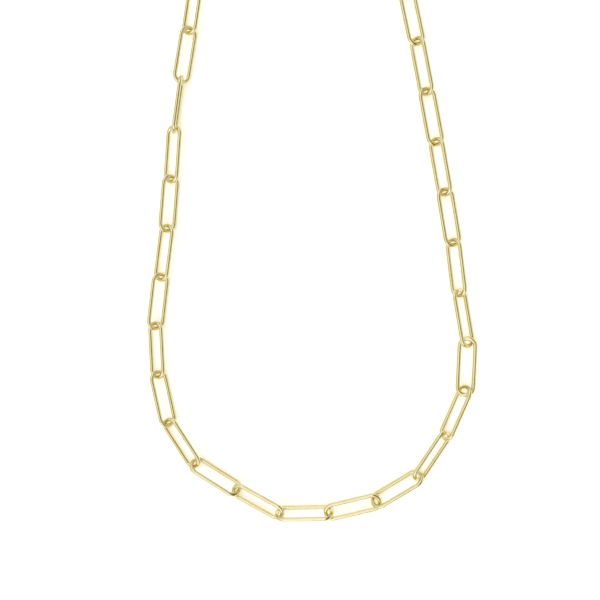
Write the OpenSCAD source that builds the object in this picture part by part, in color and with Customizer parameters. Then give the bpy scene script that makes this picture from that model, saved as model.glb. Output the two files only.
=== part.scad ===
// Paperclip chain: a necklace of long plain wire links, closed by a jump ring and a lobster clasp.
// It lies on a flat surface as a closed loop. X runs across the loop and Y along it, with the
// clasp at +Y. Z is up, and the surface is at z = 0. All lengths are in millimetres.

/* [Link] */
// Length of a link, outside
link_l = 14.15; // [12:0.05:18]
// Width of a link, outside
link_w = 4.65; // [4.4:0.05:6]
// Thickness of the wire of a link
wire_d = 1; // [0.8:0.02:1.1]

/* [Chain] */
// Number of links
link_count = 37; // [34:1:40]
// Play of two linked ends along the chain, beyond wire against wire
play = 0.34; // [0.3:0.02:0.6]
// Lean of a link whose inner side lies high, in degrees
lean_in = 28; // [25:1:34]
// Lean of a link whose outer side lies high, in degrees
lean_out = 40; // [38:1:50]

/* [Jump ring] */
// Outside diameter of the jump ring
ring_od = 4.8; // [4.4:0.1:6]
// Thickness of the wire of the jump ring
ring_wire = 0.9; // [0.7:0.05:1]

/* [Clasp] */
// Length of the clasp, over the claw and the eye
clasp_l = 12; // [11:0.5:15]
// Width of the claw
claw_w = 6; // [5.4:0.2:7]
// Thickness of the claw
claw_wire = 1.6; // [1.4:0.1:1.8]
// Outside diameter of the eye that the jump ring passes through
eye_od = 3.8; // [3.6:0.1:4.4]
// Thickness of the eye
eye_wire = 1; // [0.9:0.1:1.1]
// Length of the neck between the eye and the claw
neck_l = 0.4; // [0.3:0.1:1]
// Thickness of the neck
neck_d = 0.8; // [0.6:0.05:0.85]
// Diameter of the thumb stud, which stands half out of the inner side of the claw
stud_d = 1.2; // [1:0.1:1.3]

/* [Hidden] */
$fn = 48;
gold = "#e6d08c";

// Points that the chain passes, in order from the claw: down the left strand, round the bottom
// and up the right strand. The whole route is scaled a little until the chain closes on itself.
route = [
    [-3.9, 137.4], [-13.8, 133.4], [-20.7, 124.4], [-22, 109.4], [-23.6, 84],
    [-26.5, 64], [-30, 40.5], [-32, 17.5], [-35, -6], [-34.5, -18],
    [-32, -29.5], [-25.5, -39.5], [-15.5, -45.5], [-5, -51], [7, -50.5],
    [18.5, -47.5], [28, -41.5], [34.5, -31.5], [39, -21], [39.5, -9.5],
    [37.5, 2], [36, 14], [32, 37], [27.5, 60.5], [22.9, 84],
    [21.5, 109.4], [20.7, 124.4], [13.8, 133.4], [3.9, 137.4]
];

// Most links lean by turns inner side high and outer side high. From each of these links on,
// the turns are the other way about.
turnovers = [9, 25];

// Links that lie otherwise: the number of the link, its lean in degrees (more than 0 has the
// inner side high), and how far both its ends are pushed into its neighbours, as a share of
// the wire's thickness.
NUMBER = 0;
LEAN = 1;
PUSH = 2;
unlike = [
    [1, 60, 0.1],
    [2, -46, 0.12],
    [9, 83, 0],
    [19, -55, 0],
    [20, 16, 0.1],
    [21, -38, 0.2],
    [22, 49, 0],
    [23, -48, 0.15],
    [24, 0, 0.45],
    [25, 48, 0],
    [36, -46, 0.12],
    [37, 28, 0.12]
];

// The jump ring stands nearly on edge, and the clasp lies nearly flat.
ring_lean = 88;
clasp_lean = -15;

// The pieces of the closed chain are counted from 0: the links, then the ring, then the clasp.
RING = link_count;
CLASP = link_count + 1;
piece_count = link_count + 2;
pieces = [0 : piece_count - 1];

function name_of(n) = str("link_", n < 10 ? "0" : "", n);

// Lean and push of each piece
function row_of(n) = [for (row = unlike) if (row[NUMBER] == n) row];
function turns_at(n) = n + len([for (t = turnovers) if (n >= t) t]);
function usual_lean(n) = turns_at(n) % 2 == 1 ? lean_in : -lean_out;
function link_lean(n) = len(row_of(n)) > 0 ? row_of(n)[0][LEAN] : usual_lean(n);
function link_push(n) = len(row_of(n)) > 0 ? row_of(n)[0][PUSH] * wire_d : 0;
leans = concat([for (n = [1 : link_count]) link_lean(n)], [ring_lean, clasp_lean]);
pushes = concat([for (n = [1 : link_count]) link_push(n)], [0, 0]);

// Outside length and width of each piece, and its wire at its two ends
lengths = concat([for (n = [1 : link_count]) link_l], [ring_od, clasp_l]);
widths = concat([for (n = [1 : link_count]) link_w], [ring_od, claw_w]);
front_wires = concat([for (n = [1 : link_count]) wire_d], [ring_wire, eye_wire]);
back_wires = concat([for (n = [1 : link_count]) wire_d], [ring_wire, claw_wire]);

function before(i) = (i + piece_count - 1) % piece_count;
function after(i) = (i + 1) % piece_count;

// How far the centre lines of two linked ends overlap, at the front of each piece
overlaps = [for (i = pieces)
    (back_wires[before(i)] + front_wires[i]) / 2 + play + pushes[before(i)] + pushes[i]];

// Distance from one meeting point to the next, through each piece
function wire_length(i) = lengths[i] - (front_wires[i] + back_wires[i]) / 2;
strides = [for (i = pieces) wire_length(i) - (overlaps[i] + overlaps[after(i)]) / 2];

// A smooth closed curve through the points of the route
SAMPLES = 12;
function curve(a, b, c, d, t) =
    (2 * b + (c - a) * t + (2 * a - 5 * b + 4 * c - d) * t * t
    + (3 * b - a - 3 * c + d) * t * t * t) / 2;
stops = len(route);
fine = [for (i = [0 : stops - 1]) for (j = [0 : SAMPLES - 1])
    curve(route[(i + stops - 1) % stops], route[i], route[(i + 1) % stops],
        route[(i + 2) % stops], j / SAMPLES)];
fine_count = len(fine);
function fine_at(k) = fine[k % fine_count];

// The stretch of the curve, counted on from k, where the distance from p grows past reach
function stretch(p, k, reach) = norm(fine_at(k + 1) - p) >= reach ? k : stretch(p, k + 1, reach);

// The point between a and b that lies at the distance reach from p
function crossing(p, a, b, reach) =
    let (
        run = b - a,
        off = a - p,
        half = off * run,
        share = (sqrt(half * half - run * run * (off * off - reach * reach)) - half) / (run * run)
    )
    a + run * share;

// The meeting points, walked along the curve with each stride divided by the scale.
// Each is [x, y, stretch of the curve].
function walk(scale, i = 0, p = fine[0], k = 0) =
    i == piece_count ? [[p[0], p[1], k]] :
    let (
        reach = strides[i] / scale,
        next_k = stretch(p, k, reach),
        next_p = crossing(p, fine_at(next_k), fine_at(next_k + 1), reach)
    )
    concat([[p[0], p[1], k]], walk(scale, i + 1, next_p, next_k));

// The scale of the route at which the last stride ends where the first began
function passes_start(scale) = walk(scale)[piece_count][2] >= fine_count;
function closing_scale(low, high, rounds) =
    rounds == 0 ? (low + high) / 2 :
    passes_start((low + high) / 2) ? closing_scale((low + high) / 2, high, rounds - 1) :
    closing_scale(low, (low + high) / 2, rounds - 1);
route_scale = closing_scale(0.5, 2, 30);
meetings = [for (m = walk(route_scale)) [m[0], m[1]] * route_scale];

// Each meeting point is high enough for both its pieces to clear the surface.
function body_wire(i) = max(front_wires[i], back_wires[i]);
function least_height(i) = body_wire(i) / 2 + (widths[i] - body_wire(i)) / 2 * abs(sin(leans[i]));
heights = [for (i = pieces) max(least_height(before(i)), least_height(i))];
function meeting(i) = [meetings[i % piece_count][0], meetings[i % piece_count][1],
    heights[i % piece_count]];

// Centre and direction of each piece
function along(i) = (meeting(i + 1) - meeting(i)) / norm(meeting(i + 1) - meeting(i));
function centre(i) =
    (meeting(i) + meeting(i + 1)) / 2
    + along(i) * ((overlaps[after(i)] + back_wires[i]) - (overlaps[i] + front_wires[i])) / 4;
function heading(i) = atan2(along(i)[1], along(i)[0]);
function pitch(i) = asin(along(i)[2]);

// How far a piece reaches from its centre, in a level direction
function across(i) = [
    -sin(heading(i)) * cos(leans[i]) - cos(heading(i)) * sin(pitch(i)) * sin(leans[i]),
    cos(heading(i)) * cos(leans[i]) - sin(heading(i)) * sin(pitch(i)) * sin(leans[i])
];
function reach_of(i, dir) =
    let (
        bow = (widths[i] - body_wire(i)) / 2,
        fore = abs(along(i)[0] * dir[0] + along(i)[1] * dir[1]),
        side = across(i) * dir
    )
    fore * (lengths[i] - widths[i]) / 2 + bow * norm([fore, side]) + body_wire(i) / 2;
function level(i) = [centre(i)[0], centre(i)[1]];
function far_side(dir) = max([for (i = pieces) level(i) * dir + reach_of(i, dir)]);
middle = [far_side([1, 0]) - far_side([-1, 0]), far_side([0, 1]) - far_side([0, -1]), 0] / 2;

// Puts a piece that was made lying flat along X where it lies in the chain
module lay(i) {
    translate(centre(i) - middle)
        rotate([leans[i], -pitch(i), heading(i)])
            children();
}

// A closed loop of round wire: two straight sides and two half-round ends
module wire_loop(l, w, d) {
    bow = (w - d) / 2;
    side = l - w;
    for (turn = [0, 180])
        rotate([0, 0, turn]) {
            translate([side / 2, 0, 0])
                rotate([0, 0, -90])
                    rotate_extrude(angle = 180)
                        translate([bow, 0])
                            circle(d = d);
            translate([-side / 2, bow, 0])
                rotate([0, 90, 0])
                    cylinder(d = d, h = side);
        }
}

module wire_ring(od, d) {
    rotate_extrude()
        translate([(od - d) / 2, 0])
            circle(d = d);
}

module link(i) {
    color(gold)
        lay(i)
            wire_loop(link_l, link_w, wire_d);
}

module jump_ring() {
    color(gold)
        lay(RING)
            wire_ring(ring_od, ring_wire);
}

// The eye comes first along the chain, then the neck and the claw with its thumb stud.
module clasp() {
    claw_l = clasp_l - eye_od - neck_l;
    neck_start = -clasp_l / 2 + eye_od - eye_wire / 2;
    color(gold)
        lay(CLASP) {
            translate([-(clasp_l - eye_od) / 2, 0, 0])
                wire_ring(eye_od, eye_wire);
            translate([neck_start, 0, 0])
                rotate([0, 90, 0])
                    cylinder(d = neck_d, h = neck_l + (eye_wire + claw_wire) / 2);
            translate([(clasp_l - claw_l) / 2, 0, 0]) {
                wire_loop(claw_l, claw_w, claw_wire);
                translate([0, claw_w / 2, 0])
                    sphere(d = stud_d);
            }
        }
}

for (n = [1 : link_count])
    link(n - 1);
jump_ring();
clasp();
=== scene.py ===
"""A paperclip chain necklace in polished pale gold, laid out on a pale floor under soft studio light."""

import math

import bmesh
import bpy
import numpy as np
from bpy.props import FloatProperty, FloatVectorProperty, IntProperty, PointerProperty, StringProperty
from mathutils import Matrix, Vector


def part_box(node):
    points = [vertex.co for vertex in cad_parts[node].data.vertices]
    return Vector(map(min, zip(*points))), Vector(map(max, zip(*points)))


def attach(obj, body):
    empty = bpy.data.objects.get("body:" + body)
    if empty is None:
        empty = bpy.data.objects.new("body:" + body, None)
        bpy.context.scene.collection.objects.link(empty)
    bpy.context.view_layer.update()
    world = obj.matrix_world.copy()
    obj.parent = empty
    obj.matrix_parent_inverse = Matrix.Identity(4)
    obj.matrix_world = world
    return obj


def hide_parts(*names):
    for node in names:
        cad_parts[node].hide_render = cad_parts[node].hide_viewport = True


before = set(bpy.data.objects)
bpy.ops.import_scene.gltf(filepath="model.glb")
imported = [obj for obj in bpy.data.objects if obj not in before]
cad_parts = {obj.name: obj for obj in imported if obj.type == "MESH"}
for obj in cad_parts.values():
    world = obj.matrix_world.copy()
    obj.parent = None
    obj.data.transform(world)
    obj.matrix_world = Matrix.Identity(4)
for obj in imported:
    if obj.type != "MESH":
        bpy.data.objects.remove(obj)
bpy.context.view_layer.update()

bl_info = {
    "name": "Paperclip Chain Necklace",
    "version": (1, 0, 0),
    "blender": (4, 5, 0),
    "location": "View3D > Sidebar > Necklace",
    "description": "Makes the wire links, jump ring and lobster clasp of a polished gold chain",
    "category": "Object",
}

MM = 0.001
ROOT = "root"
LINK_NODES = sorted(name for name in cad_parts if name.startswith("link_"))
RING_NODE = "jump_ring"
CLASP_NODE = "clasp"
INWARD = Vector((0, -1, 0))

# Sizes and colours that a user may change


def size(name, description, default_mm, **more):
    """A length, stated in millimetres and kept in metres."""
    return FloatProperty(
        name=name, description=description, default=default_mm * MM,
        min=0, precision=5, unit="LENGTH", **more
    )


def angle(name, description, degrees):
    """An angle, stated in degrees and kept in radians."""
    return FloatProperty(
        name=name, description=description, default=math.radians(degrees), subtype="ANGLE"
    )


def share(name, description, default, **more):
    """A plain number, such as a share of a length."""
    return FloatProperty(name=name, description=description, default=default, **more)


def colour(name, description, default):
    """A colour as an sRGB hex value."""
    return StringProperty(name=name, description=description, default=default)


class NecklaceLinkSettings(bpy.types.PropertyGroup):
    """Sizes of one wire link and of its soldered seam"""

    length: size("Link length", "Outside length of a link", 14.15)
    width: size("Link width", "Outside width of a link", 4.65)
    wire: size("Link wire", "Thickness of the wire of a link", 1.0)
    seam_length: size("Seam length", "Length of the soldered seam along the wire", 0.22)
    seam_swell: share("Seam swell", "How much thicker the soldered seam is, as a share", 0.015)
    unevenness: share("Unevenness", "How much the wire's thickness wanders, as a share", 0.012)
    steps: IntProperty(name="Steps along", description="Rings of faces along a link's wire", default=176)
    sides: IntProperty(name="Sides", description="Faces round the wire", default=28)


class NecklaceRingSettings(bpy.types.PropertyGroup):
    """Sizes of the jump ring and of its closed cut"""

    across: size("Ring diameter", "Outside diameter of the jump ring", 4.8)
    wire: size("Ring wire", "Thickness of the wire of the jump ring", 0.9)
    cut_length: size("Cut length", "Width of the groove where the ring's ends meet", 0.1)
    cut_depth: share("Cut depth", "How much thinner the wire is in the groove, as a share", 0.14)
    steps: IntProperty(name="Steps round", description="Rings of faces along the ring's wire", default=144)


class NecklaceClaspSettings(bpy.types.PropertyGroup):
    """Sizes of the lobster clasp"""

    length: size("Clasp length", "Length over the claw and the eye", 12.0)
    claw_width: size("Claw width", "Outside width of the claw", 6.0)
    claw_bar: size("Claw bar", "Thickness of the claw", 1.6)
    eye_across: size("Eye diameter", "Outside diameter of the eye", 3.8)
    eye_wire: size("Eye wire", "Thickness of the eye", 1.0)
    neck: size("Neck length", "Length of the neck between the eye and the claw", 0.4)
    pin: size("Pin diameter", "Diameter of the pin that the lever turns on", 0.7)


class NecklaceGoldSettings(bpy.types.PropertyGroup):
    """Colours and polish of the metal"""

    face: colour("Gold", "The plating's colour", "#E9DEA8")
    deep: colour("Deep gold", "The plating's colour where it lies a little thicker", "#E5D89C")
    seam: colour("Solder", "The colour of the soldered seams", "#E0CF94")
    roughness: share("Roughness", "Roughness of the polished plating", 0.1, min=0, max=1)


class NecklaceStageSettings(bpy.types.PropertyGroup):
    """The floor, the light and the camera"""

    floor: colour("Floor", "The floor's colour", "#F6F6E8")
    # Painted reflection: the floor's colour is painted this gold between two linked ends, for the light
    # that the plating throws there.
    floor_painted_reflection: colour("Floor in an eye", "The floor's colour between two linked ends", "#F3DD6C")
    glow: share("Floor glow", "How strongly the floor is lit from below", 0.40, min=0)
    glow_colour: colour("Glow", "The colour of the light from below", "#FFFFF3")
    # Painted reflection: the glow is painted this brighter gold between two linked ends.
    glow_painted_reflection: colour("Glow in an eye", "The glow's colour between two linked ends", "#FFEE82")
    camera_distance: size("Camera distance", "From the camera to the point that it looks at", 238.1)
    camera_roll_y: angle("Lean sideways", "How far the camera leans to the side", -7.09)
    camera_roll_x: angle("Lean along", "How far the camera leans along the loop", 1.76)
    aim: FloatVectorProperty(
        name="Aim", description="The point on the floor that the camera looks at",
        subtype="TRANSLATION", default=(-2.35 * MM, -43.63 * MM, 0)
    )


# Helpers


def linear(hex_colour):
    """An sRGB hex colour as linear red, green, blue and alpha."""
    parts = [int(hex_colour[i : i + 2], 16) / 255 for i in (1, 3, 5)]
    return [p / 12.92 if p <= 0.04045 else ((p + 0.055) / 1.055) ** 2.4 for p in parts] + [1.0]


def add(tree, kind, settings=None, **links):
    """Adds a node. settings holds its properties. links holds its inputs: plain values, sockets of other
    nodes, or other nodes, which give their first output in use. An input is named by its socket's name,
    with _ for a space, or by in0, in1 and so on for its place."""
    node = tree.nodes.new(kind)
    for key, value in (settings or {}).items():
        setattr(node, key, value)
    for key, value in links.items():
        if key.startswith("in") and key[2:].isdigit():
            socket = node.inputs[int(key[2:])]
        else:
            name = key.replace("_", " ").lower()
            socket = next(s for s in node.inputs if s.enabled and s.name.lower() == name)
        if isinstance(value, bpy.types.Node):
            value = next(s for s in value.outputs if s.enabled)
        if isinstance(value, bpy.types.NodeSocket):
            tree.links.new(value, socket)
        else:
            socket.default_value = value
    return node


def seat(node_name):
    """Where a CAD node lies, from its solid: a matrix whose x runs along its length and y across its
    width, with its centre as the place."""
    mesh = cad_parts[node_name].data
    points = np.empty(len(mesh.vertices) * 3)
    mesh.vertices.foreach_get("co", points)
    points = points.reshape(-1, 3)
    middle = (points.min(0) + points.max(0)) / 2
    mesh.calc_loop_triangles()
    corners = np.empty(len(mesh.loop_triangles) * 3, dtype=np.int32)
    mesh.loop_triangles.foreach_get("vertices", corners)
    a, b, c = (points[corners.reshape(-1, 3)[:, k]] - middle for k in range(3))
    # The solid's second moments, summed over the tetrahedra from the middle to each triangle
    volume = np.einsum("ij,ij->i", a, np.cross(b, c)) / 6
    total = a + b + c
    centroid = (volume[:, None] * total / 4).sum(0) / volume.sum()
    second = sum(np.einsum("i,ij,ik->jk", volume / 20, p, p) for p in (a, b, c, total))
    second -= volume.sum() * np.outer(centroid, centroid)
    axes = np.linalg.eigh(second)[1]
    along, across = axes[:, 2], axes[:, 1]
    up = np.cross(along, across)
    if up[2] < 0:
        across, up = -across, -up
    basis = np.column_stack([along, across, up])
    local = (points - middle) @ basis
    centre = middle + basis @ ((local.min(0) + local.max(0)) / 2)
    return matrix_of((along, across, up), centre)


def matrix_of(axes, centre):
    """A matrix with these x, y and z axes at this centre."""
    place = Matrix.Identity(4)
    for k, axis in enumerate(axes):
        place.col[k][:3] = axis
    place.col[3][:3] = centre
    return place


def show(name, mesh, node_names):
    """A finished piece, which stands for CAD nodes and rides with them."""
    piece = bpy.data.objects.new(name, mesh)
    bpy.context.scene.collection.objects.link(piece)
    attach(piece, ROOT)
    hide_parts(*node_names)


# Materials

# Kinds of nodes that are used often, and their settings
MATH = "ShaderNodeMath"
VECTOR_MATH = "ShaderNodeVectorMath"
MIX = "ShaderNodeMix"
COLOURS = {"data_type": "RGBA"}

# Real sizes of the plating's patterns, in millimetres: patches of thicker plating, patches of polishing
# haze, and the drawing lines along the wire. LINES_ROUND sets the lines about 0.08 mm apart round it.
# Real lines are finer, and are drawn this coarse so that they show.
THICK_PATCH = 4
HAZE_PATCH = 1.2
LINE_LENGTH = 3
LINES_ROUND = 6
LINE_HEIGHT = 0.01
# How much haze and lines add to the roughness, and how strongly the lines stand out
HAZE_SHARE = 0.06
LINE_SHARE = 0.04
LINE_RELIEF = 0.12


def gold_plate(settings):
    """Gold-plated brass, drawn as wire and then barrel-polished. It mirrors what surrounds it, a little
    softened, with faint drawing lines along the wire and slightly deeper colour where the plating is
    thicker."""
    name = "polished_gold_plate"
    if name in bpy.data.materials:
        return bpy.data.materials[name]
    material = bpy.data.materials.new(name)
    material.use_nodes = True
    tree = material.node_tree
    tree.nodes.clear()
    place = add(tree, "ShaderNodeTexCoord").outputs["Object"]
    cloud = add(
        tree, "ShaderNodeTexNoise", Vector=place, Scale=1 / (THICK_PATCH * MM), Detail=2.0, Roughness=0.5
    )
    tone = add(tree, "ShaderNodeMapRange", Value=cloud, From_Min=0.35, From_Max=0.65)
    base = add(tree, MIX, COLOURS, in0=tone, in6=linear(settings.face), in7=linear(settings.deep))
    seam = add(tree, "ShaderNodeAttribute", {"attribute_name": "seam"}).outputs["Fac"]
    tint = add(tree, MIX, COLOURS, in0=seam, in6=base, in7=linear(settings.seam))
    # The drawing lines follow the wire: the run along it and the turn round it are kept in its mesh.
    run = add(tree, "ShaderNodeAttribute", {"attribute_name": "run"}).outputs["Fac"]
    turn = add(tree, "ShaderNodeAttribute", {"attribute_name": "turn"}).outputs["Fac"]
    long_run = add(tree, MATH, {"operation": "MULTIPLY"}, in0=run, in1=1 / (LINE_LENGTH * MM))
    round_wire = add(tree, MATH, {"operation": "MULTIPLY"}, in0=turn, in1=2 * math.pi)
    sine = add(tree, MATH, {"operation": "SINE"}, in0=round_wire)
    cosine = add(tree, MATH, {"operation": "COSINE"}, in0=round_wire)
    lines_at = add(tree, "ShaderNodeCombineXYZ", X=long_run, Y=sine, Z=cosine)
    spread = add(
        tree, VECTOR_MATH, {"operation": "MULTIPLY"}, in0=lines_at, in1=(1, LINES_ROUND, LINES_ROUND)
    )
    lines = add(tree, "ShaderNodeTexNoise", Vector=spread, Scale=1.0, Detail=3.0, Roughness=0.6)
    haze = add(
        tree, "ShaderNodeTexNoise", Vector=place, Scale=1 / (HAZE_PATCH * MM), Detail=3.0, Roughness=0.55
    )
    # Half of the haze is taken off first, so that the settings' roughness is the middle one.
    dull = add(
        tree, MATH, {"operation": "MULTIPLY_ADD"},
        in0=haze, in1=HAZE_SHARE, in2=settings.roughness - HAZE_SHARE / 2,
    )
    rough = add(tree, MATH, {"operation": "MULTIPLY_ADD"}, in0=lines, in1=LINE_SHARE, in2=dull)
    relief = add(
        tree, "ShaderNodeBump", Strength=LINE_RELIEF, Distance=LINE_HEIGHT * MM, Height=lines
    )
    shader = add(
        tree, "ShaderNodeBsdfPrincipled",
        Base_Color=tint, Metallic=1.0, Roughness=rough, Normal=relief,
    )
    add(tree, "ShaderNodeOutputMaterial", Surface=shader)
    return material


# Painted reflection between two linked ends, where the sheet's colour and glow are mixed toward a brighter
# gold: how far off a wire counts, in millimetres, how open the sheet is in the eye and outside it, and how
# much stronger the painted glow is in the eye
EYE_REACH = 2.5
EYE_OPENNESS = 0.1
FREE_OPENNESS = 0.35
PAINTED_REFLECTION_BOOST = 1.35


def opal_acrylic(settings):
    """A backlit sheet of opal acrylic, matt and white, on which thin things leave almost no shadow. Where
    the wires hem it in, chiefly in the small eye between two linked ends, its colour and glow are painted
    a brighter gold: a painted reflection of the light that the plating all round throws on the sheet."""
    material = bpy.data.materials.new("opal_acrylic")
    material.use_nodes = True
    tree = material.node_tree
    tree.nodes.clear()
    openness = add(tree, "ShaderNodeAmbientOcclusion", {"samples": 8}, Distance=EYE_REACH * MM)
    # The mask of the painted reflection: 0 where the wires hem the sheet in, as in the eye between linked
    # ends, and 1 where the sheet is open
    free = add(
        tree, "ShaderNodeMapRange", {"interpolation_type": "SMOOTHSTEP"},
        Value=openness.outputs["AO"], From_Min=EYE_OPENNESS, From_Max=FREE_OPENNESS,
    )
    # Painted reflection: under the mask the glow is painted a brighter gold, and the sheet's colour a
    # deeper gold
    painted_reflection_glow = [PAINTED_REFLECTION_BOOST * part for part in linear(settings.glow_painted_reflection)[:3]] + [1.0]
    glow = add(tree, MIX, COLOURS, in0=free, in6=painted_reflection_glow, in7=linear(settings.glow_colour))
    sheet = add(
        tree, MIX, COLOURS,
        in0=free, in6=linear(settings.floor_painted_reflection), in7=linear(settings.floor),
    )
    shader = add(
        tree, "ShaderNodeBsdfPrincipled",
        Base_Color=sheet, Roughness=0.9, Specular_IOR_Level=0.0,
        Emission_Color=glow, Emission_Strength=settings.glow,
    )
    add(tree, "ShaderNodeOutputMaterial", Surface=shader)
    return material


# Wire loops

# Points on the circle that the two half-round ends of a loop are made from
END_STEPS = 96
# The wire's thickness wanders over this length, in millimetres.
WANDER = 2.5
# The node that keeps a value, and its settings for one at each point of a curve
KEEP = "GeometryNodeStoreNamedAttribute"
ON_POINTS = {"data_type": "FLOAT", "domain": "POINT"}
LOOP_INPUTS = (
    ("Length", "NodeSocketFloat"),
    ("Width", "NodeSocketFloat"),
    ("Wire", "NodeSocketFloat"),
    ("Seam Length", "NodeSocketFloat"),
    ("Seam Swell", "NodeSocketFloat"),
    ("Unevenness", "NodeSocketFloat"),
    ("Seam Place", "NodeSocketFloat"),
    ("Steps", "NodeSocketInt"),
    ("Sides", "NodeSocketInt"),
    ("Seed", "NodeSocketFloat"),
    ("Material", "NodeSocketMaterial"),
)


def wire_loop_tree():
    """A Geometry Nodes tree for a closed loop of round wire lying flat: two straight sides and two
    half-round ends. It keeps the run along the wire, the turn round it and the share of seam as
    attributes."""
    name = "wire_loop"
    if name in bpy.data.node_groups:
        return bpy.data.node_groups[name]
    tree = bpy.data.node_groups.new(name, "GeometryNodeTree")
    for label, kind in LOOP_INPUTS:
        tree.interface.new_socket(label, in_out="INPUT", socket_type=kind)
    tree.interface.new_socket("Mesh", in_out="OUTPUT", socket_type="NodeSocketGeometry")
    given = add(tree, "NodeGroupInput").outputs

    # A circle of half-round ends, turned half a step so that no point lies between the ends, and then
    # pulled apart
    spare_width = add(tree, MATH, {"operation": "SUBTRACT"}, in0=given["Width"], in1=given["Wire"])
    bow = add(tree, MATH, {"operation": "MULTIPLY"}, in0=spare_width, in1=0.5)
    ring = add(tree, "GeometryNodeCurvePrimitiveCircle", Resolution=END_STEPS, Radius=bow)
    half_on = add(tree, "GeometryNodeTransform", Geometry=ring, Rotation=(0, 0, math.pi / END_STEPS))
    where = add(tree, "GeometryNodeInputPosition")
    parts = add(tree, "ShaderNodeSeparateXYZ", Vector=where)
    straight = add(tree, MATH, {"operation": "SUBTRACT"}, in0=given["Length"], in1=given["Width"])
    half_side = add(tree, MATH, {"operation": "MULTIPLY"}, in0=straight, in1=0.5)
    this_end = add(tree, MATH, {"operation": "SIGN"}, in0=parts)
    apart = add(tree, MATH, {"operation": "MULTIPLY"}, in0=this_end, in1=half_side)
    pull = add(tree, "ShaderNodeCombineXYZ", X=apart)
    pulled = add(tree, "GeometryNodeSetPosition", Geometry=half_on, Offset=pull)
    path = add(tree, "GeometryNodeResampleCurve", Curve=pulled, Count=given["Steps"])

    # Distance from the seam, measured across the loop so that it needs no wrap
    seam_x = add(tree, MATH, {"operation": "MULTIPLY"}, in0=given["Seam Place"], in1=half_side)
    seam_at = add(tree, "ShaderNodeCombineXYZ", X=seam_x, Y=bow, Z=0.0)
    away = add(tree, VECTOR_MATH, {"operation": "DISTANCE"}, in0=where, in1=seam_at)
    seam = add(
        tree, "ShaderNodeMapRange", {"interpolation_type": "SMOOTHERSTEP"},
        Value=away, From_Min=0.0, From_Max=given["Seam Length"], To_Min=1.0, To_Max=0.0,
    )
    marked = add(tree, KEEP, ON_POINTS, Geometry=path, Name="seam", Value=seam)
    so_far = add(tree, "GeometryNodeSplineParameter").outputs["Length"]
    run = add(tree, MATH, {"operation": "ADD"}, in0=so_far, in1=given["Seed"])
    measured = add(tree, KEEP, ON_POINTS, Geometry=marked, Name="run", Value=run)

    # The thickness: a little drift along the wire, and the swell or groove of the seam
    offset = add(tree, "ShaderNodeCombineXYZ", X=0.0, Y=0.0, Z=given["Seed"])
    shifted = add(tree, VECTOR_MATH, {"operation": "ADD"}, in0=where, in1=offset)
    wander = add(
        tree, "ShaderNodeTexNoise", Vector=shifted, Scale=1 / (WANDER * MM), Detail=1.0, Roughness=0.4
    )
    level = add(tree, MATH, {"operation": "SUBTRACT"}, in0=wander, in1=0.5)
    drift = add(tree, MATH, {"operation": "MULTIPLY"}, in0=level, in1=given["Unevenness"])
    swell = add(tree, MATH, {"operation": "MULTIPLY"}, in0=seam, in1=given["Seam Swell"])
    change = add(tree, MATH, {"operation": "ADD"}, in0=drift, in1=swell)
    thickness = add(tree, MATH, {"operation": "ADD"}, in0=change, in1=1.0)

    # The round section, with each point's turn round it, swept along the path
    radius = add(tree, MATH, {"operation": "MULTIPLY"}, in0=given["Wire"], in1=0.5)
    section = add(tree, "GeometryNodeCurvePrimitiveCircle", Resolution=given["Sides"], Radius=radius)
    point = add(tree, "GeometryNodeInputIndex")
    turn = add(tree, MATH, {"operation": "DIVIDE"}, in0=point, in1=given["Sides"])
    profile = add(tree, KEEP, ON_POINTS, Geometry=section, Name="turn", Value=turn)
    flat = add(tree, "GeometryNodeSetCurveNormal", {"mode": "Z_UP"}, Curve=measured)
    swept = add(tree, "GeometryNodeCurveToMesh", Curve=flat, Profile_Curve=profile, Scale=thickness)
    smooth = add(tree, "GeometryNodeSetShadeSmooth", Geometry=swept)
    real = add(tree, "GeometryNodeRealizeInstances", Geometry=smooth)
    dressed = add(tree, "GeometryNodeSetMaterial", Geometry=real, Material=given["Material"])
    add(tree, "NodeGroupOutput", Mesh=dressed)
    return tree


def wire_loop(name, place, material, inputs):
    """Runs the wire loop tree with these inputs, and gives the result as a plain mesh in its place."""
    tree = wire_loop_tree()
    maker = bpy.data.objects.new(name + "_maker", bpy.data.meshes.new(name + "_maker"))
    modifier = maker.modifiers.new("Wire Loop", "NODES")
    modifier.node_group = tree
    for item in tree.interface.items_tree:
        if item.in_out == "INPUT":
            modifier[item.identifier] = material if item.name == "Material" else inputs[item.name]
    bpy.context.scene.collection.objects.link(maker)
    shape = maker.evaluated_get(bpy.context.evaluated_depsgraph_get())
    mesh = bpy.data.meshes.new_from_object(shape)
    mesh.name = name
    maker.modifiers.remove(modifier)
    bpy.data.objects.remove(maker)
    mesh.transform(place)
    return mesh


# Each link's seam lies somewhere along a straight side, up to this share of half the side from its middle.
SEAM_SPREAD = 0.6
# How far on each next link's patterns start, where the ring's start, and the seed of the random draws
SEED_STEP = 0.11
RING_SEED = 9.0
RANDOM_START = 37


class NECKLACE_OT_links(bpy.types.Operator):
    """Makes every wire link of the chain where its solid lies"""

    bl_idname = "necklace.links"
    bl_label = "Make Links"

    def execute(self, context):
        sizes = context.scene.necklace_link
        gold = gold_plate(context.scene.necklace_gold)
        rng = np.random.default_rng(RANDOM_START)
        for k, node in enumerate(LINK_NODES):
            mesh = wire_loop(
                node + "_wire", seat(node), gold,
                {
                    "Length": sizes.length, "Width": sizes.width, "Wire": sizes.wire,
                    "Seam Length": sizes.seam_length, "Seam Swell": sizes.seam_swell,
                    "Unevenness": sizes.unevenness,
                    "Seam Place": float(rng.uniform(-SEAM_SPREAD, SEAM_SPREAD)),
                    "Steps": sizes.steps, "Sides": sizes.sides, "Seed": k * SEED_STEP,
                },
            )
            show(node + "_wire", mesh, [node])
        return {"FINISHED"}


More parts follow.
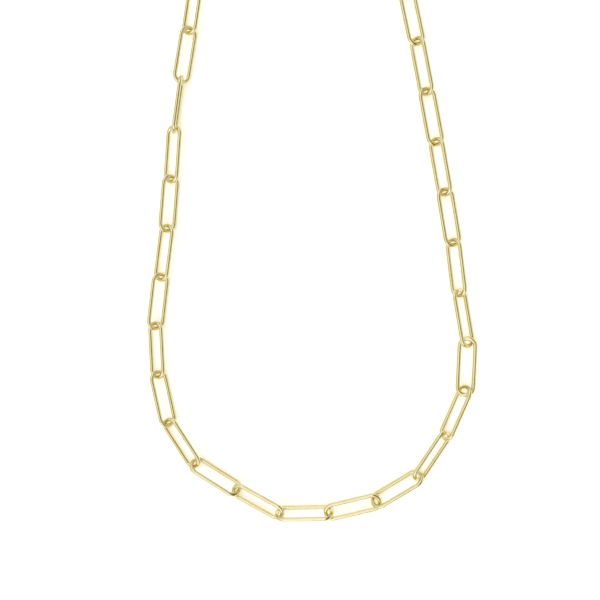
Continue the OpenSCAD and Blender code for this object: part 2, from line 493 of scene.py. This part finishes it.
class NECKLACE_OT_jump_ring(bpy.types.Operator):
    """Makes the jump ring, with the groove where its ends meet"""

    bl_idname = "necklace.jump_ring"
    bl_label = "Make Jump Ring"

    def execute(self, context):
        sizes = context.scene.necklace_ring
        link = context.scene.necklace_link
        mesh = wire_loop(
            "jump_ring_wire", seat(RING_NODE), gold_plate(context.scene.necklace_gold),
            {
                "Length": sizes.across, "Width": sizes.across, "Wire": sizes.wire,
                "Seam Length": sizes.cut_length, "Seam Swell": -sizes.cut_depth,
                "Unevenness": link.unevenness, "Seam Place": 0.0,
                "Steps": sizes.steps, "Sides": link.sides, "Seed": RING_SEED,
            },
        )
        show("jump_ring_wire", mesh, [RING_NODE])
        return {"FINISHED"}


# Clasp. Lengths in this part are in millimetres, and angles in degrees.

BAR_SIDES = 20
PIN_SIDES = 32
# The rings of a domed end, from its pole to its rim, and how high a short dome is
DOME_ANGLES = (80, 60, 40, 20)
SHORT_DOME = 0.3
# Points along the eye, along the near and far bends of the arm, and of the lever
EYE_POINTS = 49
ARM_POINTS = (14, 24)
LEVER_POINTS = (9, 5)
# The grain that the cast pieces are melted with, of the body and of the lever
BODY_GRAIN = 0.055
LEVER_GRAIN = 0.05
# The neck's share of the way from the eye to the claw, its width and its depth
NECK = ((0.0, 1.45, 0.96), (0.35, 1.15, 0.9), (0.7, 1.4, 1.05), (1.0, 2.1, 1.3))
# Where the claw's fixed arm ends, round the far bend, and how thin it has become there
TIP_ANGLE = 56
TIP_SHARE = 0.76
# Where the lever's pin sits, round the near bend, and where the hinge block starts. The block is a
# little slimmer than the arm that it grows from. Over its first rings its middle moves inwards by the
# swell, and its width grows by twice as much, so that its outer side stays flush.
HINGE_ANGLE = 143
HINGE_START = 225
HINGE_POINTS = 12
HINGE_SLIM = 0.98
HINGE_SWELL = 0.12
SWELL_RINGS = 8
# The lever ends this far before the arm's tip. Its thickness is a share of the claw's at these points.
TIP_GAP = 12
LEVER_AT = (0, 5, 9)
LEVER_SHARES = (0.78, 0.66, 0.6, 0.7)
# The thumb piece: along the claw and out from its middle line, its width and its depth
THUMB = ((1.0, 0.05, 1.0, 1.0), (0.6, 0.5, 0.78, 1.05), (0.2, 0.85, 0.66, 1.1), (-0.1, 1.05, 0.6, 0.95))
# The pin's peened head: shares of its thickness, and how far below the top of the head
PIN_HEAD = ((0.0, 0.0), (0.3, 0.015), (0.44, 0.06), (0.5, 0.14))
PIN_RISE = 0.08
# The solid's thumb stud stands out on one side only, so the claw's own centre lies this much nearer the
# other side.
STUD_SHIFT = 0.3


def bar(bm, path, widths, depths, dome=1.0):
    """Adds a rounded bar that follows a flat path. widths are measured in the path's plane and depths out
    of it, one for each point. Both ends are domed: dome is 1 for a half ball and 0 for a flat end."""
    points = [Vector((x, y, 0)) for x, y in path]
    turns = [2 * math.pi * k / BAR_SIDES for k in range(BAR_SIDES)]
    cap = [(math.cos(t), math.sin(t) * dome) for t in (math.radians(d) for d in DOME_ANGLES)]
    rings = []

    def ring(centre, side, width, depth):
        return [
            bm.verts.new(
                centre + side * (math.cos(a) * width / 2) + Vector((0, 0, math.sin(a) * depth / 2))
            )
            for a in turns
        ]

    last = len(points) - 1
    for k, point in enumerate(points):
        ahead = (points[min(k + 1, last)] - points[max(k - 1, 0)]).normalized()
        side = Vector((-ahead.y, ahead.x, 0))
        width, depth = widths[k], depths[k]
        if k == 0:
            for c, s in cap:
                rings.append(ring(point - ahead * (s * depth / 2), side, width * c, depth * c))
        rings.append(ring(point, side, width, depth))
        if k == last:
            for c, s in reversed(cap):
                rings.append(ring(point + ahead * (s * depth / 2), side, width * c, depth * c))
    for one, two in zip(rings, rings[1:]):
        for k in range(BAR_SIDES):
            j = (k + 1) % BAR_SIDES
            bm.faces.new((one[k], one[j], two[j], two[k]))
    bm.faces.new(rings[0][::-1])
    bm.faces.new(rings[-1])


def arc(centre, radius, start, end, steps):
    """Points on a flat arc."""
    return [
        (centre[0] + radius * math.cos(a), centre[1] + radius * math.sin(a))
        for a in (math.radians(d) for d in np.linspace(start, end, steps))
    ]


def cast(name, bm, place, material, grain):
    """Melts overlapping bars into one smooth cast skin, in its place in metres."""
    bmesh.ops.recalc_face_normals(bm, faces=bm.faces)
    rough = bpy.data.meshes.new(name + "_rough")
    bm.to_mesh(rough)
    bm.free()
    maker = bpy.data.objects.new(name + "_maker", rough)
    bpy.context.scene.collection.objects.link(maker)
    remesh = maker.modifiers.new("Melt", "REMESH")
    remesh.mode = "VOXEL"
    remesh.voxel_size = grain
    soften = maker.modifiers.new("Soften", "SMOOTH")
    soften.factor = 0.5
    soften.iterations = 6
    shape = maker.evaluated_get(bpy.context.evaluated_depsgraph_get())
    mesh = bpy.data.meshes.new_from_object(shape)
    mesh.name = name
    bpy.data.objects.remove(maker)
    return finish(mesh, place, material)


def finish(mesh, place, material):
    """Puts a mesh made in millimetres in its place, in metres, with its material."""
    mesh.transform(place @ Matrix.Scale(MM, 4))
    mesh.shade_smooth()
    mesh.materials.clear()
    mesh.materials.append(material)
    return mesh


def lathe_solid(bm, at, outline):
    """Adds a lathe-turned solid on a Z axis through at. outline runs from pole to pole as (radius,
    height)."""
    turns = [2 * math.pi * k / PIN_SIDES for k in range(PIN_SIDES)]
    rings = [
        [bm.verts.new(at + Vector((r * math.cos(a), r * math.sin(a), h))) for a in turns]
        for r, h in outline[1:-1]
    ]
    top, bottom = (bm.verts.new(at + Vector((0, 0, outline[k][1]))) for k in (0, -1))
    for k in range(PIN_SIDES):
        j = (k + 1) % PIN_SIDES
        bm.faces.new((top, rings[0][k], rings[0][j]))
        for one, two in zip(rings, rings[1:]):
            bm.faces.new((one[k], two[k], two[j], one[j]))
        bm.faces.new((bottom, rings[-1][j], rings[-1][k]))
    bmesh.ops.recalc_face_normals(bm, faces=bm.faces)


def clasp_seat():
    """The clasp's seat, turned so that its eye is toward the jump ring and its lever is on the loop's
    inner side."""
    place = seat(CLASP_NODE)
    ring = sum(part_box(RING_NODE), Vector()) / 2
    x, y, z = (place.col[k].xyz for k in range(3))
    if x.dot(ring - place.translation) > 0:
        x, y = -x, -y
    if y.dot(INWARD) < 0:
        y, z = -y, -z
    return matrix_of((x, y, z), place.translation - y * (STUD_SHIFT * MM))


class NECKLACE_OT_clasp(bpy.types.Operator):
    """Makes the lobster clasp: a cast body with its eye, a lever with a thumb piece, and its pin"""

    bl_idname = "necklace.clasp"
    bl_label = "Make Clasp"

    def execute(self, context):
        sizes = context.scene.necklace_clasp
        gold = gold_plate(context.scene.necklace_gold)
        length, width, thick = (v / MM for v in (sizes.length, sizes.claw_width, sizes.claw_bar))
        eye, eye_wire, neck = (v / MM for v in (sizes.eye_across, sizes.eye_wire, sizes.neck))
        pin = sizes.pin / MM
        place = clasp_seat()
        bow = (width - thick) / 2
        near = (length / 2 - (length - eye - neck) + width / 2, 0)
        far = (length / 2 - width / 2, 0)
        eye_at = (-(length - eye) / 2, 0)
        eye_bow = (eye - eye_wire) / 2

        # The body: the eye, the neck that flares toward the claw, the fixed arm, which thins toward its
        # tip, and the hinge block
        bm = bmesh.new()
        ring = arc(eye_at, eye_bow, 0, 360, EYE_POINTS)
        bar(bm, ring, [eye_wire] * len(ring), [eye_wire] * len(ring))
        start = eye_at[0] + eye_bow
        stem = [(start + (near[0] - bow - start) * along, 0) for along, _, _ in NECK]
        bar(bm, stem, [row[1] for row in NECK], [row[2] for row in NECK])
        arm = arc(near, bow, 180, 270, ARM_POINTS[0]) + arc(far, bow, -90, TIP_ANGLE, ARM_POINTS[1])
        taper = list(thick * np.linspace(1.0, TIP_SHARE, len(arm)))
        bar(bm, arm, taper, taper, dome=SHORT_DOME)
        swell = [
            math.sin(math.pi / 2 * min(1, k / SWELL_RINGS)) ** 2 * HINGE_SWELL
            for k in range(HINGE_POINTS)
        ]
        hinge = [
            arc(near, bow - more, at, at, 1)[0]
            for at, more in zip(np.linspace(HINGE_START, HINGE_ANGLE + 2, HINGE_POINTS), swell)
        ]
        slim = thick * HINGE_SLIM
        bar(bm, hinge, [slim + 2 * more for more in swell], [slim] * HINGE_POINTS, dome=SHORT_DOME)
        show("clasp_body", cast("clasp_body", bm, place, gold, BODY_GRAIN), [CLASP_NODE])

        # The lever: from the pin to the arm's tip, with the thumb piece on its outer side
        bm = bmesh.new()
        lever = arc(near, bow, HINGE_ANGLE - 2, 90, LEVER_POINTS[0])
        lever += arc(far, bow, 90, TIP_ANGLE + TIP_GAP, LEVER_POINTS[1])
        shares = np.interp(range(len(lever)), (*LEVER_AT, len(lever) - 1), LEVER_SHARES)
        bar(bm, lever, list(thick * shares), list(thick * shares), dome=SHORT_DOME)
        thumb = [(near[0] + along, bow + out) for along, out, _, _ in THUMB]
        bar(bm, thumb, [row[2] for row in THUMB], [row[3] for row in THUMB])
        show("clasp_lever", cast("clasp_lever", bm, place, gold, LEVER_GRAIN), [CLASP_NODE])

        # The pin, peened over a little on both faces of the hinge
        bm = bmesh.new()
        top = 0.5 * thick + PIN_RISE
        outline = [(pin * part, top - drop) for part, drop in PIN_HEAD]
        outline += [(r, -h) for r, h in reversed(outline)]
        lathe_solid(bm, Vector((*arc(near, bow, HINGE_ANGLE, HINGE_ANGLE, 1)[0], 0)), outline)
        mesh = bpy.data.meshes.new("clasp_pin")
        bm.to_mesh(mesh)
        bm.free()
        show("clasp_pin", finish(mesh, place, gold), [CLASP_NODE])
        return {"FINISHED"}


# Stage

# What stands round the chain: bearing (0 is +X and 90 is +Y) and height above the floor, in degrees, how
# wide and how tall it looks, and how much light it adds to the walls'
ROOM = (
    # A doorway on the right draws the dark line along each wire.
    (4, 54, 0.70, 0.29, (-2.10, -2.25, -3.20)),
    # Windows below and above the picture light the wires that run across it.
    (-95, 44, 0.40, 0.355, (0.74, 0.80, 1.48)),
    (83, 54, 0.25, 0.487, (0.66, 0.72, 1.33)),
    # The dim foot of the far wall
    (204, 3, 1.644, 0.347, (-0.48, -0.48, -0.50)),
    # A beam in the ceiling
    (80, 78, 0.513, 0.112, (-0.25, -0.25, -0.25)),
)
# The walls' own light
WALLS = (1.0, 1.0, 1.1)
# The skirting round the walls draws the thin line at the edges of each wire: the light that it takes away,
# and how high it reaches
SKIRTING_LIGHT = (-0.65, -0.65, -0.65)
SKIRTING_HEIGHT = 0.14
# The light that is left in the darkest part, and how fast each part of the room fades behind the chain
DARKEST = (0.20, 0.155, 0.045)
FADE_BEHIND = 12.0


def studio_light(world):
    """A white room for the metal to mirror. Camera rays see plain white."""
    world.use_nodes = True
    tree = world.node_tree
    tree.nodes.clear()
    way = add(tree, "ShaderNodeTexCoord").outputs["Generated"]
    rise = add(tree, VECTOR_MATH, {"operation": "DOT_PRODUCT"}, in0=way, in1=(0, 0, 1))
    sunk = add(tree, MATH, {"operation": "DIVIDE"}, in0=rise, in1=-SKIRTING_HEIGHT)
    low = add(tree, MATH, {"operation": "EXPONENT"}, in0=sunk)
    light = add(tree, VECTOR_MATH, {"operation": "MULTIPLY_ADD"}, in0=low, in1=SKIRTING_LIGHT, in2=WALLS)
    for bearing, height, wide, tall, its_light in ROOM:
        across, up = math.radians(bearing), math.radians(height)
        centre = Vector((math.cos(up) * math.cos(across), math.cos(up) * math.sin(across), math.sin(up)))
        side = Vector((-math.sin(across), math.cos(across), 0))
        top = centre.cross(side)
        ahead, off_side, off_top = (
            add(tree, VECTOR_MATH, {"operation": "DOT_PRODUCT"}, in0=way, in1=axis)
            for axis in (centre, side / wide, top / tall)
        )
        # It is brightest at its centre and fades over its width and height, and behind the chain.
        high = add(tree, MATH, {"operation": "MULTIPLY"}, in0=off_top, in1=off_top)
        off = add(tree, MATH, {"operation": "MULTIPLY_ADD"}, in0=off_side, in1=off_side, in2=high)
        behind = add(tree, MATH, {"operation": "MINIMUM"}, in0=ahead, in1=0.0)
        fade = add(tree, MATH, {"operation": "MULTIPLY"}, in0=behind, in1=FADE_BEHIND)
        power = add(tree, MATH, {"operation": "SUBTRACT"}, in0=fade, in1=off)
        part = add(tree, MATH, {"operation": "EXPONENT"}, in0=power)
        light = add(tree, VECTOR_MATH, {"operation": "MULTIPLY_ADD"}, in0=part, in1=its_light, in2=light)
    kept = add(tree, VECTOR_MATH, {"operation": "MAXIMUM"}, in0=light, in1=DARKEST)
    room = add(tree, "ShaderNodeBackground", Color=kept, Strength=1.0)
    plain = add(tree, "ShaderNodeBackground", Color=(1, 1, 1, 1), Strength=1.0)
    seen = add(tree, "ShaderNodeLightPath").outputs["Is Camera Ray"]
    both = add(tree, "ShaderNodeMixShader", in0=seen, in1=room, in2=plain)
    add(tree, "ShaderNodeOutputWorld", Surface=both)


# Half the floor's width, and the nearest and farthest that the camera sees, in metres
FLOOR_HALF = 6.0
CLIP = (0.01, 50)
# The camera's lens and sensor, in millimetres
LENS = 60
SENSOR = 36


class NECKLACE_OT_stage(bpy.types.Operator):
    """Makes the floor, the studio light and the camera"""

    bl_idname = "necklace.stage"
    bl_label = "Make Stage"

    def execute(self, context):
        scene = context.scene
        settings = scene.necklace_stage
        mesh = bpy.data.meshes.new("floor")
        corners = [(x * FLOOR_HALF, y * FLOOR_HALF, 0) for x, y in ((-1, -1), (1, -1), (1, 1), (-1, 1))]
        mesh.from_pydata(corners, [], [(0, 1, 2, 3)])
        mesh.materials.append(opal_acrylic(settings))
        floor = bpy.data.objects.new("floor", mesh)
        scene.collection.objects.link(floor)
        world = bpy.data.worlds.new("studio")
        scene.world = world
        studio_light(world)
        data = bpy.data.cameras.new("camera")
        data.sensor_width = SENSOR
        data.lens = LENS
        data.clip_start, data.clip_end = CLIP
        camera = bpy.data.objects.new("camera", data)
        lean_x = Matrix.Rotation(settings.camera_roll_x, 4, "X")
        lean_y = Matrix.Rotation(settings.camera_roll_y, 4, "Y")
        turn = (lean_x @ lean_y).transposed()
        back = Matrix.Translation((0, 0, settings.camera_distance))
        camera.matrix_world = Matrix.Translation(settings.aim) @ turn @ back
        scene.collection.objects.link(camera)
        scene.camera = camera
        scene.view_settings.view_transform = "Standard"
        scene.view_settings.look = "None"
        scene.view_settings.exposure = 0.0
        return {"FINISHED"}


# Panel


class NECKLACE_PT_panel(bpy.types.Panel):
    """Lists the necklace's pieces and their sizes"""

    bl_idname = "NECKLACE_PT_panel"
    bl_label = "Paperclip Chain"
    bl_space_type = "VIEW_3D"
    bl_region_type = "UI"
    bl_category = "Necklace"

    def draw(self, context):
        for operator, groups in STEPS:
            box = self.layout.box()
            box.operator(operator.bl_idname)
            for group in groups:
                settings = getattr(context.scene, group)
                for key in settings.__annotations__:
                    box.prop(settings, key)


GROUPS = {
    "necklace_link": NecklaceLinkSettings,
    "necklace_ring": NecklaceRingSettings,
    "necklace_clasp": NecklaceClaspSettings,
    "necklace_gold": NecklaceGoldSettings,
    "necklace_stage": NecklaceStageSettings,
}
STEPS = (
    (NECKLACE_OT_links, ("necklace_link", "necklace_gold")),
    (NECKLACE_OT_jump_ring, ("necklace_ring",)),
    (NECKLACE_OT_clasp, ("necklace_clasp",)),
    (NECKLACE_OT_stage, ("necklace_stage",)),
)
CLASSES = (*GROUPS.values(), *(operator for operator, _ in STEPS), NECKLACE_PT_panel)


def register():
    for cls in CLASSES:
        bpy.utils.register_class(cls)
    for name, group in GROUPS.items():
        setattr(bpy.types.Scene, name, PointerProperty(type=group))


def unregister():
    for name in GROUPS:
        delattr(bpy.types.Scene, name)
    for cls in reversed(CLASSES):
        bpy.utils.unregister_class(cls)


def main():
    register()
    bpy.ops.necklace.links()
    bpy.ops.necklace.jump_ring()
    bpy.ops.necklace.clasp()
    bpy.ops.necklace.stage()
    bpy.context.view_layer.update()


if __name__ == "__main__":
    main()
